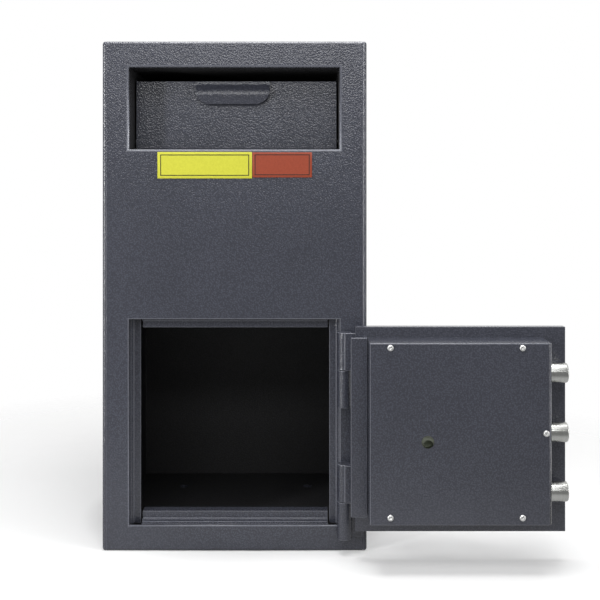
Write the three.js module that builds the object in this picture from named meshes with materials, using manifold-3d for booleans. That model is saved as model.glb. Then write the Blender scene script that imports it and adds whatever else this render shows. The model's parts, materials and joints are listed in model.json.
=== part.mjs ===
// Drop safe with a tilting deposit drawer above and a hinged safe door below.
// Millimetres, +Z up, the front looks along -Y. The origin is the centre of the underside.
// The door is drawn as it hangs when shut, and its group then swings it open.
import * as THREE from 'three';
import { mergeVertices } from 'three/addons/utils/BufferGeometryUtils.js';
import { RoundedBoxGeometry } from 'three/addons/geometries/RoundedBoxGeometry.js';
import Module from 'manifold-3d';

// Body
const BODY_WIDTH = 356;
const BODY_DEPTH = 356;
const BODY_HEIGHT = 686;
const WALL = 4.8;
const CORNER_RADIUS = 4;
const SEAM = 0.3;
const CUT_OVERRUN = 5;
const FULL_TURN = 2 * Math.PI;

// Outer planes of the body
const FRONT = -BODY_DEPTH / 2;
const BACK = BODY_DEPTH / 2;
const SIDE = BODY_WIDTH / 2;
const FRONT_INNER = FRONT + WALL;
const INSIDE_X = SIDE - WALL - SEAM;

// Front plate: both openings stand between the same two stiles
const LEFT_STILE = 36;
const RIGHT_STILE = 36.6;
const HEADER = 35;
const HATCH_HEIGHT = 110.4;
const DOORWAY_BOTTOM = 34.8;
const DOORWAY_HEIGHT = 276.9;
const OPENING_LEFT = -SIDE + LEFT_STILE;
const OPENING_RIGHT = SIDE - RIGHT_STILE;
const HATCH_TOP = BODY_HEIGHT - HEADER;
const HATCH_BOTTOM = HATCH_TOP - HATCH_HEIGHT;
const DOORWAY_TOP = DOORWAY_BOTTOM + DOORWAY_HEIGHT;

// Stepped jamb of the lower opening
const JAMB_SHEET = 3;
const LEDGE_DEPTH = 14.5;
const LEDGE_WIDTH = 4;
const FLANGE_DEPTH = 18.5;
const FLANGE_REACH = 13.3;
const JAMB_RETURN = 15;
const CORNER_RELIEF = 2.3;

// Housing behind the upper opening
const HOUSING_SHEET = 3;
const HOUSING_DEPTH = 184;
const CHEEK_DROP = 62.6;
const CHEEK_BOTTOM = HATCH_BOTTOM - CHEEK_DROP;
const CHEEK_BACK = FRONT + HOUSING_DEPTH;
const SILL_DROP = 34;
const BAFFLE_SHEET = 2.5;
const BAFFLE_DROP = 88;
const BAFFLE_TOOTH = 7;
const BAFFLE_TEETH = 18;
const REST_BAR_SIZE = 16;

// Deposit drawer, a bin that tilts out on a rod near the bottom of its face
const FACE_DEPTH = 46;
const FACE_SIDE_GAP = 2.4;
const FACE_SILL_GAP = 2.4;
const FACE_HEAD_GAP = 14;
const FACE_PLANE = FRONT + FACE_DEPTH;
const FACE_LEFT = OPENING_LEFT + FACE_SIDE_GAP;
const FACE_RIGHT = OPENING_RIGHT - FACE_SIDE_GAP;
const FACE_BOTTOM = HATCH_BOTTOM + FACE_SILL_GAP;
const FACE_TOP = HATCH_TOP - FACE_HEAD_GAP;
const DRAWER_SHEET = 3;
const PIVOT_BACK = 10;
const PIVOT_RISE = 10;
const PIVOT_Y = FACE_PLANE + PIVOT_BACK;
const PIVOT_Z = FACE_BOTTOM + PIVOT_RISE;
const PIVOT_RADIUS = 4;
const RUNNING_GAP = 0.08;
const FLOOR_SLOPE = Math.PI / 6;
const FLOOR_LENGTH = 119;
const SIDE_ARC_END = Math.PI / 4;
const SIDE_TAIL = 12;
const CLIP_RADIUS = 9;
const CLIP_THICKNESS = 1.6;

// Bent pull on the drawer's face
const PULL_CENTRE = -5;
const PULL_WIDTH = 102;
const PULL_DROP = 4.5;
const PULL_TOP = FACE_TOP - PULL_DROP;
const PULL_BEND_DROP = 11;
const PULL_LIP_DROP = 27.5;
const PULL_REACH = 7.5;
const PULL_LIP_LEAN = 1;
const PULL_TAB = 4;
const PULL_SHEET = 2.5;
const PULL_CORNER_WIDTH = 20;
const PULL_CORNER_HEIGHT = 19;

// Chute below the drawer
const CHUTE_SHEET = 3;
const CHUTE_DROP = 26;
const CHUTE_FALL = 106;
const CHUTE_FRONT_HEIGHT = CHEEK_BOTTOM - CHUTE_DROP;
const CHUTE_BACK_HEIGHT = CHUTE_FRONT_HEIGHT - CHUTE_FALL;
const CHUTE_GAP = 118;
const CHUTE_LIP = 16;

// Anchor holes in the base
const ANCHOR_RADIUS = 7;
const ANCHOR_INSET_X = 78;
const ANCHOR_INSET_Y = 78;

// Blank label plates, side by side under the upper opening
const LABEL_SHEET = 0.6;
const LABEL_GLUE = 0.1;
const LABEL_INSET = 38.5;
const LABEL_GAP = 0.6;
const YELLOW_WIDTH = 127;
const YELLOW_HEIGHT = 35.5;
const YELLOW_DROP = 3.7;
const ORANGE_WIDTH = 80.1;
const ORANGE_HEIGHT = 33.7;
const ORANGE_DROP = 4.1;

// Weld-on hinges
const AXIS_OUTSET = 5.9;
const BARREL_RADIUS = 9.5;
const BARREL_STAND_OFF = 3.5;
const AXIS_X = OPENING_RIGHT + AXIS_OUTSET;
const AXIS_Y = FRONT - BARREL_STAND_OFF - BARREL_RADIUS;
const BARREL_LENGTH = 50;
const BARREL_GAP = 0.6;
const HINGE_PIN_RADIUS = 5;
const PIN_CLEAR = 1.5;
const LEAF_SHEET = 6;
const DOOR_LEAF_REACH = 44;
const BODY_LEAF_REACH = 26;
const UPPER_HINGE_DROP = 60.4;
const LOWER_HINGE_RISE = 31.6;
const DOOR_OPEN_ANGLE = Math.PI;

// Door plate
const DOOR_FREE_GAP = 2;
const DOOR_HINGE_GAP = 7.4;
const DOOR_SILL_GAP = 5.2;
const DOOR_HEAD_GAP = 4.7;
const DOOR_PLATE = 12.7;
const DOOR_LEFT = OPENING_LEFT + DOOR_FREE_GAP;
const DOOR_RIGHT = OPENING_RIGHT - DOOR_HINGE_GAP;
const DOOR_BOTTOM = DOORWAY_BOTTOM + DOOR_SILL_GAP;
const DOOR_TOP = DOORWAY_TOP - DOOR_HEAD_GAP;
const DOOR_MIDDLE = (DOOR_BOTTOM + DOOR_TOP) / 2;
const DOOR_INNER = FRONT + DOOR_PLATE;

// Cover over the boltwork
const COVER_FREE_MARGIN = 30.2;
const COVER_HINGE_MARGIN = 15;
const COVER_BOTTOM_MARGIN = 26;
const COVER_TOP_MARGIN = 13.4;
const COVER_DEPTH = 55;
const COVER_LEFT = DOOR_LEFT + COVER_FREE_MARGIN;
const COVER_RIGHT = DOOR_RIGHT - COVER_HINGE_MARGIN;
const COVER_BOTTOM = DOOR_BOTTOM + COVER_BOTTOM_MARGIN;
const COVER_TOP = DOOR_TOP - COVER_TOP_MARGIN;
const COVER_FACE = DOOR_INNER + COVER_DEPTH;
const COVER_SHEET = 2;
const COVER_ROUND = 6;
const SCREW_RADIUS = 2;
const SCREW_HEAD_RADIUS = 4;
const SCREW_HEAD = 2.2;
const SCREW_SOCKET_RADIUS = 1.5;
const SCREW_SOCKET = 1.2;
const SCREW_LENGTH = 14;
const SCREW_CLEAR = 0.2;
const SCREW_INSET = 5.5;
const SCREW_EDGE_INSET = 8;
const SCREW_HINGE_INSET = 25.7;
const SCREW_FREE_INSET = 37.7;
const SCREW_FAR_COLUMN = COVER_RIGHT - SCREW_HINGE_INSET;
const SCREW_NEAR_COLUMN = COVER_LEFT + SCREW_FREE_INSET;
const SOCKET_SIDES = 6;
const POST_RADIUS = SCREW_INSET - COVER_SHEET - SEAM;
const KEY_HOLE_RADIUS = 8;

// Dead bar along the hinge side of the door
const DEAD_BAR_SHEET = 4;
const DEAD_BAR_BOTTOM_EXTRA = 2;
const DEAD_BAR_TOP_EXTRA = 1.8;
const DEAD_BAR_TIP_GAP = 0.4;
const DEAD_BAR_DEPTH = 19;
const DEAD_BAR_COVER_GAP = 0.6;

// Bolts and carriage
const BOLT_RADIUS = 12.7;
const BOLT_BOTTOM_INSET = 33.6;
const BOLT_TOP_INSET = 42;
const BOLT_LOW = COVER_BOTTOM + BOLT_BOTTOM_INSET;
const BOLT_HIGH = COVER_TOP - BOLT_TOP_INSET;
const BOLT_MIDDLE = (BOLT_LOW + BOLT_HIGH) / 2;
const BOLT_PITCH = (BOLT_HIGH - BOLT_LOW) / 2;
const BOLT_ENGAGEMENT = 7;
const BOLT_TIP = OPENING_LEFT + FLANGE_REACH - BOLT_ENGAGEMENT;
const BOLT_TIP_ROUND = 3;
const BOLT_THROW = 19;
const BOLT_DEPTH = 24;
const BOLT_Y = DOOR_INNER + BOLT_DEPTH;
const BOLT_TENON_RADIUS = 6;
const CARRIAGE_INSET = 12.5;
const CARRIAGE_FRONT = COVER_LEFT + CARRIAGE_INSET;
const CARRIAGE_WIDTH = 12;
const CARRIAGE_DEPTH = 20;
const CARRIAGE_OVERHANG = 16;
const TONGUE_SHEET = 6;
const TONGUE_PAST_SPINDLE = 16;
const TONGUE_BELOW = 13;
const TONGUE_ABOVE = 32;
const GUIDE_SHEET = 3;
const GUIDE_GAP = 0.6;
const GUIDE_OVERHANG = 24;
const GUIDE_FOOT = 14;
const GUIDE_CLEAR = 0.5;
const GUIDE_CHAMFER = 3;

// Handle, with a crank that moves the carriage
const HANDLE_INSET = 56.5;
const HANDLE_X = COVER_LEFT + HANDLE_INSET;
const HANDLE_Z = DOOR_MIDDLE;
const HANDLE_TURN = Math.PI / 3;
const CRANK_RADIUS = BOLT_THROW / (2 * Math.sin(HANDLE_TURN / 2));
const CRANK_SHEET = 5;
const CRANK_GAP = 1.5;
const CRANK_HALF_WIDTH = 9;
const CRANK_PIN_RADIUS = 4;
const SLOT_CLEAR = 0.6;
const SLOT_MARGIN = 2;
const SPINDLE_RADIUS = 6;
const ROSE_RADIUS = 23;
const ROSE_DEPTH = 4;
const HUB_RADIUS = 18;
const HUB_DEPTH = 24;
const LEVER_LENGTH = 92;
const LEVER_ROOT = 11;
const LEVER_TIP = 8;
const LEVER_DEPTH = 12;
const LEVER_STAND_OFF = 10;

// Combination lock and its dial
const DIAL_OFFSET = 76;
const DIAL_X = HANDLE_X + DIAL_OFFSET;
const DIAL_Z = DOOR_MIDDLE;
const KEY_HOLE_SHIFT_X = 23.6;
const KEY_HOLE_SHIFT_Z = -3.5;
const KEY_HOLE_X = DIAL_X + KEY_HOLE_SHIFT_X;
const KEY_HOLE_Z = DIAL_Z + KEY_HOLE_SHIFT_Z;
const DIAL_RADIUS = 36;
const DIAL_RING_RADIUS = 44;
const DIAL_RING_BORE = 38;
const DIAL_RING_DEPTH = 8;
const DIAL_GAP = 1;
const DIAL_EDGE = 3;
const DIAL_FACE_DEPTH = 8;
const DIAL_SHOULDER = 24;
const DIAL_KNOB_RADIUS = 17;
const DIAL_KNOB_DEPTH = 32;
const DIAL_KNOB_ROUND = 2;
const DIAL_SPINDLE_RADIUS = 4;
const HARD_PLATE_SHEET = 4;
const HARD_PLATE_MARGIN = 8;
const LOCK_WIDTH = 62;
const LOCK_HEIGHT = 84;
const LOCK_DEPTH = 44;
const LOCK_KEY_SHIFT_X = -1.6;
const LOCK_KEY_SHIFT_Z = -5.1;
const LOCK_KEY_RADIUS = 6;
const LOCK_KEY_DEPTH = 14;
const LOCK_BOLT_WIDTH = 16;
const LOCK_BOLT_DEPTH = 8;
const LOCK_BOLT_LENGTH = 24;
const LOCK_BOLT_PROUD = 1;
const LOCK_BOLT_CLEAR = 0.25;

// Sides on round pieces
const BIG_SIDES = 48;
const MID_SIDES = 32;
const SMALL_SIDES = 20;
const ROUND_STEPS = 4;

const wasm = await Module();
wasm.setup();

// A closed geometry as a solid that can be cut and joined
function solidOf(geometry) {
  const bare = geometry.clone();
  bare.deleteAttribute('normal');
  bare.deleteAttribute('uv');
  const merged = mergeVertices(bare);
  const mesh = new wasm.Mesh({
    numProp: 3,
    vertProperties: Float32Array.from(merged.attributes.position.array),
    triVerts: Uint32Array.from(merged.index.array),
  });
  return new wasm.Manifold(mesh);
}

function geometryOf(solid) {
  const mesh = solid.getMesh();
  const geometry = new THREE.BufferGeometry();
  geometry.setAttribute('position', new THREE.BufferAttribute(mesh.vertProperties, mesh.numProp));
  geometry.setIndex(new THREE.BufferAttribute(mesh.triVerts, 1));
  geometry.computeVertexNormals();
  return geometry;
}

function cut(body, ...tools) {
  let solid = solidOf(body);
  for (const tool of tools) {
    solid = solid.subtract(solidOf(tool));
  }
  return geometryOf(solid);
}

function join(body, ...others) {
  let solid = solidOf(body);
  for (const other of others) {
    solid = solid.add(solidOf(other));
  }
  return geometryOf(solid);
}

function common(first, second) {
  return geometryOf(solidOf(first).intersect(solidOf(second)));
}

// Box between two corners
function slab(x0, x1, y0, y1, z0, z1) {
  const box = new THREE.BoxGeometry(x1 - x0, y1 - y0, z1 - z0);
  return box.translate((x0 + x1) / 2, (y0 + y1) / 2, (z0 + z1) / 2);
}

// Outline from corner pairs
function outline(points) {
  const shape = new THREE.Shape();
  shape.moveTo(...points[0]);
  for (const point of points.slice(1)) {
    shape.lineTo(...point);
  }
  shape.closePath();
  return shape;
}

function extruded(shape, length) {
  return new THREE.ExtrudeGeometry(shape, { depth: length, bevelEnabled: false, curveSegments: MID_SIDES / 4 });
}

// Outline in x and y, run along z
function alongZ(shape, z0, z1) {
  return extruded(shape, z1 - z0).translate(0, 0, z0);
}

// Outline in y and z, run along x
function alongX(shape, x0, x1) {
  const turn = new THREE.Matrix4().makeBasis(
    new THREE.Vector3(0, 1, 0),
    new THREE.Vector3(0, 0, 1),
    new THREE.Vector3(1, 0, 0),
  );
  return extruded(shape, x1 - x0).applyMatrix4(turn).translate(x0, 0, 0);
}

// Outline in x and z, run along y
function alongY(shape, y0, y1) {
  return extruded(shape, y1 - y0).rotateX(Math.PI / 2).translate(0, y1, 0);
}

// Round bar between two points on one axis; a bore is widened so that its flats clear the bar
function rodX(radius, x0, x1, y, z, sides) {
  return new THREE.CylinderGeometry(radius, radius, x1 - x0, sides)
    .rotateZ(-Math.PI / 2)
    .translate((x0 + x1) / 2, y, z);
}

function rodY(radius, y0, y1, x, z, sides) {
  return new THREE.CylinderGeometry(radius, radius, y1 - y0, sides).translate(x, (y0 + y1) / 2, z);
}

function rodZ(radius, z0, z1, x, y, sides) {
  return new THREE.CylinderGeometry(radius, radius, z1 - z0, sides)
    .rotateX(Math.PI / 2)
    .translate(x, y, (z0 + z1) / 2);
}

function boreRadius(radius, clearance, sides) {
  return (radius + clearance) / Math.cos(Math.PI / sides);
}

// Turned piece round an axis along y: pairs of radius and distance in front of a plane
function turnedOut(profile, plane, x, z, sides) {
  const points = profile.map(([radius, out]) => new THREE.Vector2(radius, out));
  return new THREE.LatheGeometry(points, sides).rotateX(Math.PI).translate(x, plane, z);
}

function arcPoints(centreA, centreB, radius, start, end, steps) {
  const points = [];
  for (let step = 0; step <= steps; step += 1) {
    const angle = start + (end - start) * step / steps;
    points.push([centreA + radius * Math.cos(angle), centreB + radius * Math.sin(angle)]);
  }
  return points;
}

function finish(colour, roughness, metalness) {
  return new THREE.MeshStandardMaterial({ color: colour, roughness, metalness });
}

const finishes = {
  coat: finish(0x505058, 0.55, 0.2),
  inside: finish(0x2a2a2e, 0.7, 0.1),
  chrome: finish(0xc9c8c2, 0.25, 1),
  steel: finish(0x9a9a98, 0.4, 1),
  zinc: finish(0xa9aca4, 0.5, 0.8),
  yellow: finish(0xdedd3c, 0.5, 0),
  orange: finish(0xa84a2a, 0.5, 0),
  dial: finish(0x17181a, 0.4, 0.1),
};

function piece(parent, name, geometry, material) {
  const mesh = new THREE.Mesh(geometry, material);
  mesh.name = name;
  parent.add(mesh);
  return mesh;
}

const safe = new THREE.Group();

// Welded body plates, all cut from one envelope with rounded outer edges
function makeBodyPlates() {
  const envelope = new RoundedBoxGeometry(BODY_WIDTH, BODY_DEPTH, BODY_HEIGHT, ROUND_STEPS, CORNER_RADIUS);
  envelope.translate(0, 0, BODY_HEIGHT / 2);
  const plate = (...corners) => common(envelope, slab(...corners));
  const low = -CUT_OVERRUN;
  const high = BODY_HEIGHT + CUT_OVERRUN;
  const before = FRONT - CUT_OVERRUN;
  const behind = BACK + CUT_OVERRUN;
  const beside = SIDE + CUT_OVERRUN;
  const roof = BODY_HEIGHT - WALL;
  const y0 = FRONT_INNER + SEAM;
  const y1 = BACK - WALL - SEAM;
  piece(safe, 'left_side_plate', plate(-beside, -SIDE + WALL, before, behind, low, high), finishes.coat);
  piece(safe, 'right_side_plate', plate(SIDE - WALL, beside, before, behind, low, high), finishes.coat);
  piece(safe, 'top_plate', plate(-INSIDE_X, INSIDE_X, y0, y1, roof, high), finishes.coat);
  const anchors = [];
  for (const across of [-1, 1]) {
    for (const along of [-1, 1]) {
      const x = across * (SIDE - ANCHOR_INSET_X);
      const y = along * (BACK - ANCHOR_INSET_Y);
      anchors.push(rodZ(ANCHOR_RADIUS, low, WALL + CUT_OVERRUN, x, y, SMALL_SIDES));
    }
  }
  const base = plate(-INSIDE_X, INSIDE_X, y0, y1, low, WALL);
  piece(safe, 'bottom_plate', cut(base, ...anchors), finishes.coat);
  piece(safe, 'back_plate', plate(-INSIDE_X, INSIDE_X, BACK - WALL, behind, low, high), finishes.coat);
  const doorway = slab(OPENING_LEFT, OPENING_RIGHT, before, y0, DOORWAY_BOTTOM, DOORWAY_TOP);
  const hatch = slab(OPENING_LEFT, OPENING_RIGHT, before, y0, HATCH_BOTTOM, HATCH_TOP);
  const front = plate(-INSIDE_X, INSIDE_X, before, FRONT_INNER, low, high);
  piece(safe, 'front_plate', cut(front, doorway, hatch), finishes.coat);
}

// Stepped section of the jamb: first value runs from the opening's edge inwards, second is the depth
function jambSection(returnDepth) {
  const sheet = JAMB_SHEET;
  const start = WALL + SEAM;
  const inner = [
    [0, start],
    [0, LEDGE_DEPTH],
    [LEDGE_WIDTH, LEDGE_DEPTH],
    [LEDGE_WIDTH, FLANGE_DEPTH],
    [FLANGE_REACH, FLANGE_DEPTH],
    [FLANGE_REACH, FLANGE_DEPTH + sheet + returnDepth],
  ];
  const outer = [
    [FLANGE_REACH - sheet, FLANGE_DEPTH + sheet + returnDepth],
    [FLANGE_REACH - sheet, FLANGE_DEPTH + sheet],
    [LEDGE_WIDTH - sheet, FLANGE_DEPTH + sheet],
    [LEDGE_WIDTH - sheet, LEDGE_DEPTH + sheet],
    [-sheet, LEDGE_DEPTH + sheet],
    [-sheet, start],
  ];
  if (returnDepth === 0) {
    return inner.concat(outer.slice(2));
  }
  return inner.concat(outer);
}

function makeJamb() {
  const upright = (edge, inward) => jambSection(0).map(([a, b]) => [edge + inward * a, FRONT + b]);
  const z0 = DOORWAY_BOTTOM - JAMB_SHEET;
  const z1 = DOORWAY_TOP + JAMB_SHEET;
  const left = alongZ(outline(upright(OPENING_LEFT, 1)), z0, z1);
  const right = alongZ(outline(upright(OPENING_RIGHT, -1)), z0, z1);
  piece(safe, 'jamb_left', left, finishes.coat);
  piece(safe, 'jamb_right', right, finishes.coat);
  const level = (edge, inward) => jambSection(JAMB_RETURN).map(([a, b]) => [FRONT + b, edge + inward * a]);
  const x0 = OPENING_LEFT + FLANGE_REACH + CORNER_RELIEF;
  const x1 = OPENING_RIGHT - FLANGE_REACH - CORNER_RELIEF;
  piece(safe, 'jamb_bottom', alongX(outline(level(DOORWAY_BOTTOM, 1)), x0, x1), finishes.coat);
  piece(safe, 'jamb_top', alongX(outline(level(DOORWAY_TOP, -1)), x0, x1), finishes.coat);
}

// Housing of the deposit drawer
function makeHousing() {
  const y0 = FRONT_INNER + SEAM;
  const bore = boreRadius(PIVOT_RADIUS, RUNNING_GAP, MID_SIDES);
  const cheek = (name, near, far) => {
    const sheet = slab(Math.min(near, far), Math.max(near, far), y0, CHEEK_BACK, CHEEK_BOTTOM, HATCH_TOP);
    const hole = rodX(bore, -SIDE, SIDE, PIVOT_Y, PIVOT_Z, MID_SIDES);
    piece(safe, name, cut(sheet, hole), finishes.inside);
  };
  cheek('housing_left_cheek', OPENING_LEFT - HOUSING_SHEET, OPENING_LEFT);
  cheek('housing_right_cheek', OPENING_RIGHT, OPENING_RIGHT + HOUSING_SHEET);
  const x0 = OPENING_LEFT - HOUSING_SHEET;
  const x1 = OPENING_RIGHT + HOUSING_SHEET;
  const ceilingLow = HATCH_TOP + SEAM;
  const ceiling = slab(x0, x1, y0, CHEEK_BACK, ceilingLow, ceilingLow + HOUSING_SHEET);
  piece(safe, 'housing_ceiling', ceiling, finishes.inside);
  const sillBack = FACE_PLANE - HOUSING_SHEET;
  const sillInner = sillBack - HOUSING_SHEET;
  const sillUnder = HATCH_BOTTOM - HOUSING_SHEET;
  const sill = outline([
    [y0, sillUnder],
    [sillInner, sillUnder],
    [sillInner, HATCH_BOTTOM - SILL_DROP],
    [sillBack, HATCH_BOTTOM - SILL_DROP],
    [sillBack, HATCH_BOTTOM],
    [y0, HATCH_BOTTOM],
  ]);
  piece(safe, 'housing_sill', alongX(sill, OPENING_LEFT + SEAM, OPENING_RIGHT - SEAM), finishes.coat);
}

// Saw-toothed plate behind the drawer that stops anything being fished out
function makeBaffle() {
  const left = OPENING_LEFT + SEAM;
  const right = OPENING_RIGHT - SEAM;
  const top = HATCH_TOP;
  const bottom = HATCH_TOP - BAFFLE_DROP;
  const pitch = (right - left) / BAFFLE_TEETH;
  const points = [[left, top]];
  for (let tooth = 0; tooth < BAFFLE_TEETH; tooth += 1) {
    points.push([left + tooth * pitch, bottom]);
    points.push([left + (tooth + 0.5) * pitch, bottom - BAFFLE_TOOTH]);
  }
  points.push([right, bottom]);
  points.push([right, top]);
  const back = CHEEK_BACK - SEAM;
  piece(safe, 'fishing_baffle', alongY(outline(points), back - BAFFLE_SHEET, back), finishes.inside);
}

// Point on the drawer's floor line, measured from the pivot along the floor and square to it
function floorPoint(along, above) {
  const y = PIVOT_Y + along * Math.cos(FLOOR_SLOPE) + above * Math.sin(FLOOR_SLOPE);
  const z = PIVOT_Z - along * Math.sin(FLOOR_SLOPE) + above * Math.cos(FLOOR_SLOPE);
  return [y, z];
}

// The floor's upper side passes this far below the rod's centre
const FLOOR_DROP = PIVOT_RADIUS + DRAWER_SHEET;

function makeDrawer() {
  const faceBack = FACE_PLANE + DRAWER_SHEET;
  const face = slab(FACE_LEFT, FACE_RIGHT, FACE_PLANE, faceBack, FACE_BOTTOM, FACE_TOP);
  piece(safe, 'drawer_face', face, finishes.coat);
  const sideInset = DRAWER_SHEET + SEAM;
  const floorTop = -FLOOR_DROP;
  const floorUnder = floorTop - DRAWER_SHEET;
  const floorStart = SEAM;
  const floor = outline([
    floorPoint(floorStart, floorTop),
    floorPoint(FLOOR_LENGTH, floorTop),
    floorPoint(FLOOR_LENGTH, floorUnder),
    floorPoint(floorStart, floorUnder),
  ]);
  piece(safe, 'drawer_floor', alongX(floor, FACE_LEFT + sideInset, FACE_RIGHT - sideInset), finishes.inside);
  const arc = arcPoints(PIVOT_Y, PIVOT_Z, FACE_TOP - PIVOT_Z, SIDE_ARC_END, Math.PI / 2, ROUND_STEPS * 2);
  const sideFront = faceBack + SEAM;
  const side = outline([
    [sideFront, FACE_BOTTOM],
    floorPoint(0, floorUnder),
    floorPoint(FLOOR_LENGTH, floorUnder),
    floorPoint(FLOOR_LENGTH, floorTop + SIDE_TAIL),
    ...arc,
    [sideFront, FACE_TOP],
  ]);
  const bore = boreRadius(PIVOT_RADIUS, RUNNING_GAP, MID_SIDES);
  const hole = rodX(bore, -SIDE, SIDE, PIVOT_Y, PIVOT_Z, MID_SIDES);
  const leftSide = cut(alongX(side, FACE_LEFT, FACE_LEFT + DRAWER_SHEET), hole);
  const rightSide = cut(alongX(side, FACE_RIGHT - DRAWER_SHEET, FACE_RIGHT), hole);
  piece(safe, 'drawer_left_side', leftSide, finishes.inside);
  piece(safe, 'drawer_right_side', rightSide, finishes.inside);
}

// Rod that the drawer tilts on, held in the cheeks by a clip at each end
function makePivot() {
  const left = OPENING_LEFT - HOUSING_SHEET;
  const right = OPENING_RIGHT + HOUSING_SHEET;
  const reach = SEAM + CLIP_THICKNESS + SEAM + CLIP_THICKNESS;
  const rod = rodX(PIVOT_RADIUS, left - reach, right + reach, PIVOT_Y, PIVOT_Z, MID_SIDES);
  piece(safe, 'drawer_pivot_rod', rod, finishes.steel);
  const bore = boreRadius(PIVOT_RADIUS, RUNNING_GAP, MID_SIDES);
  const clip = (name, x0) => {
    const disc = rodX(CLIP_RADIUS, x0, x0 + CLIP_THICKNESS, PIVOT_Y, PIVOT_Z, MID_SIDES);
    const hole = rodX(bore, x0 - SEAM, x0 + CLIP_THICKNESS + SEAM, PIVOT_Y, PIVOT_Z, MID_SIDES);
    piece(safe, name, cut(disc, hole), finishes.steel);
  };
  clip('pivot_clip_left', left - SEAM - CLIP_THICKNESS);
  clip('pivot_clip_right', right + SEAM);
}

// Bar across the cheeks that the shut drawer's floor rests on
function makeRestBar() {
  const [y, z] = floorPoint(FLOOR_LENGTH - REST_BAR_SIZE, -FLOOR_DROP - DRAWER_SHEET - SEAM);
  const lower = REST_BAR_SIZE * Math.tan(FLOOR_SLOPE);
  const bar = outline([
    [y, z],
    [y - REST_BAR_SIZE, z + lower],
    [y - REST_BAR_SIZE, z - REST_BAR_SIZE],
    [y, z - REST_BAR_SIZE],
  ]);
  piece(safe, 'drawer_rest_bar', alongX(bar, OPENING_LEFT + SEAM, OPENING_RIGHT - SEAM), finishes.inside);
}

// Bent sheet pull, drawn in section and then trimmed to its curved lower corners
function makePull() {
  const root = FACE_PLANE - SEAM;
  const sheet = PULL_SHEET;
  const bendZ = PULL_TOP - PULL_BEND_DROP;
  const tipZ = PULL_TOP - PULL_LIP_DROP;
  const bendY = root - PULL_REACH;
  const tipY = bendY - PULL_LIP_LEAN;
  const section = outline([
    [root, PULL_TOP + PULL_TAB],
    [root - sheet, PULL_TOP + PULL_TAB],
    [root - sheet, PULL_TOP],
    [bendY, bendZ],
    [tipY, tipZ],
    [tipY + sheet, tipZ],
    [bendY + sheet, bendZ - sheet],
    [root, PULL_TOP - sheet],
  ]);
  const left = PULL_CENTRE - PULL_WIDTH / 2;
  const right = PULL_CENTRE + PULL_WIDTH / 2;
  const top = PULL_TOP + PULL_TAB + SEAM;
  const shoulder = tipZ + PULL_CORNER_HEIGHT;
  const corner = (edge, inward, start, end) => {
    const points = [];
    for (let step = 0; step <= ROUND_STEPS * 2; step += 1) {
      const angle = start + (end - start) * step / (ROUND_STEPS * 2);
      const x = edge + inward * PULL_CORNER_WIDTH * (1 - Math.cos(angle));
      points.push([x, shoulder - PULL_CORNER_HEIGHT * Math.sin(angle)]);
    }
    return points;
  };
  const trim = outline([
    [right, top],
    [left, top],
    ...corner(left, 1, 0, Math.PI / 2),
    ...corner(right, -1, Math.PI / 2, 0),
  ]);
  const bent = alongX(section, left - SEAM, right + SEAM);
  const pull = common(bent, alongY(trim, tipY - SEAM, root + SEAM));
  piece(safe, 'drawer_pull', pull, finishes.coat);
}

// Sloping plate that leads a dropped deposit to the back of the safe
function makeChute() {
  const y0 = FRONT_INNER + SEAM;
  const y1 = BACK - WALL - CHUTE_GAP;
  const sheet = CHUTE_SHEET;
  const plate = outline([
    [y0, CHUTE_FRONT_HEIGHT],
    [y0, CHUTE_FRONT_HEIGHT - sheet],
    [y1 - sheet, CHUTE_BACK_HEIGHT - sheet],
    [y1 - sheet, CHUTE_BACK_HEIGHT - CHUTE_LIP],
    [y1, CHUTE_BACK_HEIGHT - CHUTE_LIP],
    [y1, CHUTE_BACK_HEIGHT],
  ]);
  piece(safe, 'chute_plate', alongX(plate, -INSIDE_X, INSIDE_X), finishes.inside);
}

function makeLabels() {
  const label = (name, left, right, drop, height, material) => {
    const y1 = FRONT - LABEL_GLUE;
    const top = HATCH_BOTTOM - drop;
    piece(safe, name, slab(left, right, y1 - LABEL_SHEET, y1, top - height, top), material);
  };
  const left = OPENING_LEFT + LABEL_INSET;
  const middle = left + YELLOW_WIDTH;
  const right = middle + LABEL_GAP + ORANGE_WIDTH;
  label('label_yellow', left, middle, YELLOW_DROP, YELLOW_HEIGHT, finishes.yellow);
  label('label_orange', middle + LABEL_GAP, right, ORANGE_DROP, ORANGE_HEIGHT, finishes.orange);
}

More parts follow.
